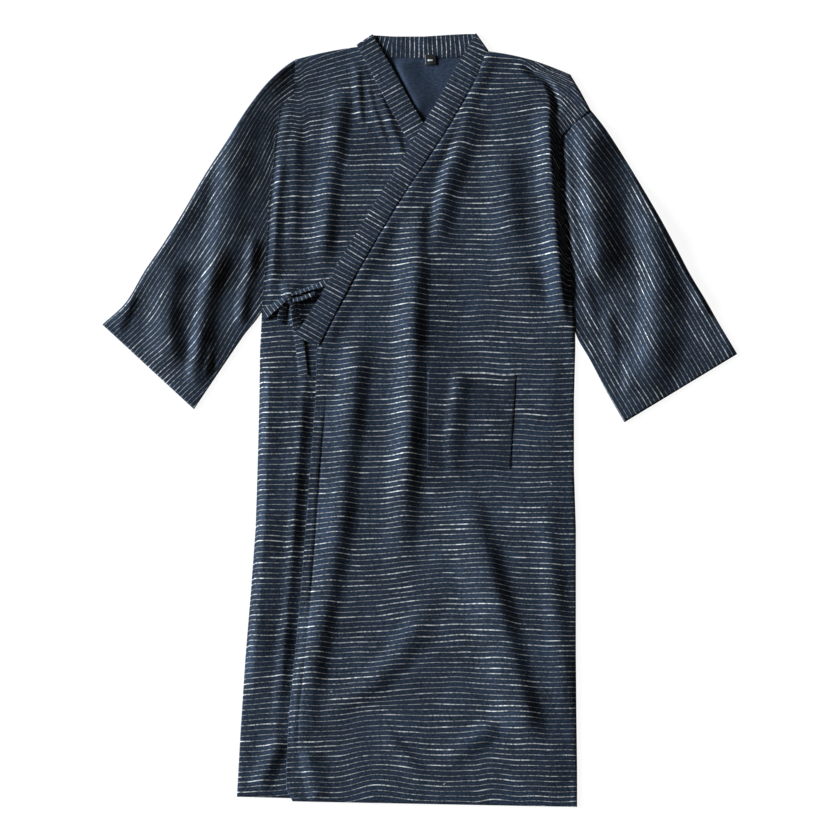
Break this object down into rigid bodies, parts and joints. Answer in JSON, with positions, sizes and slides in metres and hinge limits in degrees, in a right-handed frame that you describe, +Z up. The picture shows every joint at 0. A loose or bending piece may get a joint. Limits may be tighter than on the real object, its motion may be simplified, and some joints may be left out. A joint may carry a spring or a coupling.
{
  "type": "kimono robe",
  "caption": "Striped cotton wrap robe laid flat on its back, left front over right, with a band collar, half sleeves, a patch pocket and a side bow.",
  "frame": {"origin": "middle of the robe's outline, on the surface that it lies on", "axes": "+Y from hem to neck, +X towards the wearer's left side, +Z up from the surface"},
  "size_m": [1.015, 1.2376, 0.0122],
  "materials": {
    "striped_cotton": "matte",
    "tie_cotton": "matte",
    "label_weave": "satin"
  },
  "bodies": {
    "root": {"back": "striped_cotton", "front_left": "striped_cotton", "front_right": "striped_cotton", "pocket": "striped_cotton", "sleeve_left": "striped_cotton", "sleeve_right": "striped_cotton", "collar_left": "striped_cotton", "collar_right": "striped_cotton", "neck_label": "label_weave", "tie_side": "tie_cotton", "tie_front": "tie_cotton", "tie_long_end": "tie_cotton", "tie_short_end": "tie_cotton", "tie_loop": "tie_cotton", "tie_knot": "tie_cotton"}
  },
  "joints": []
}
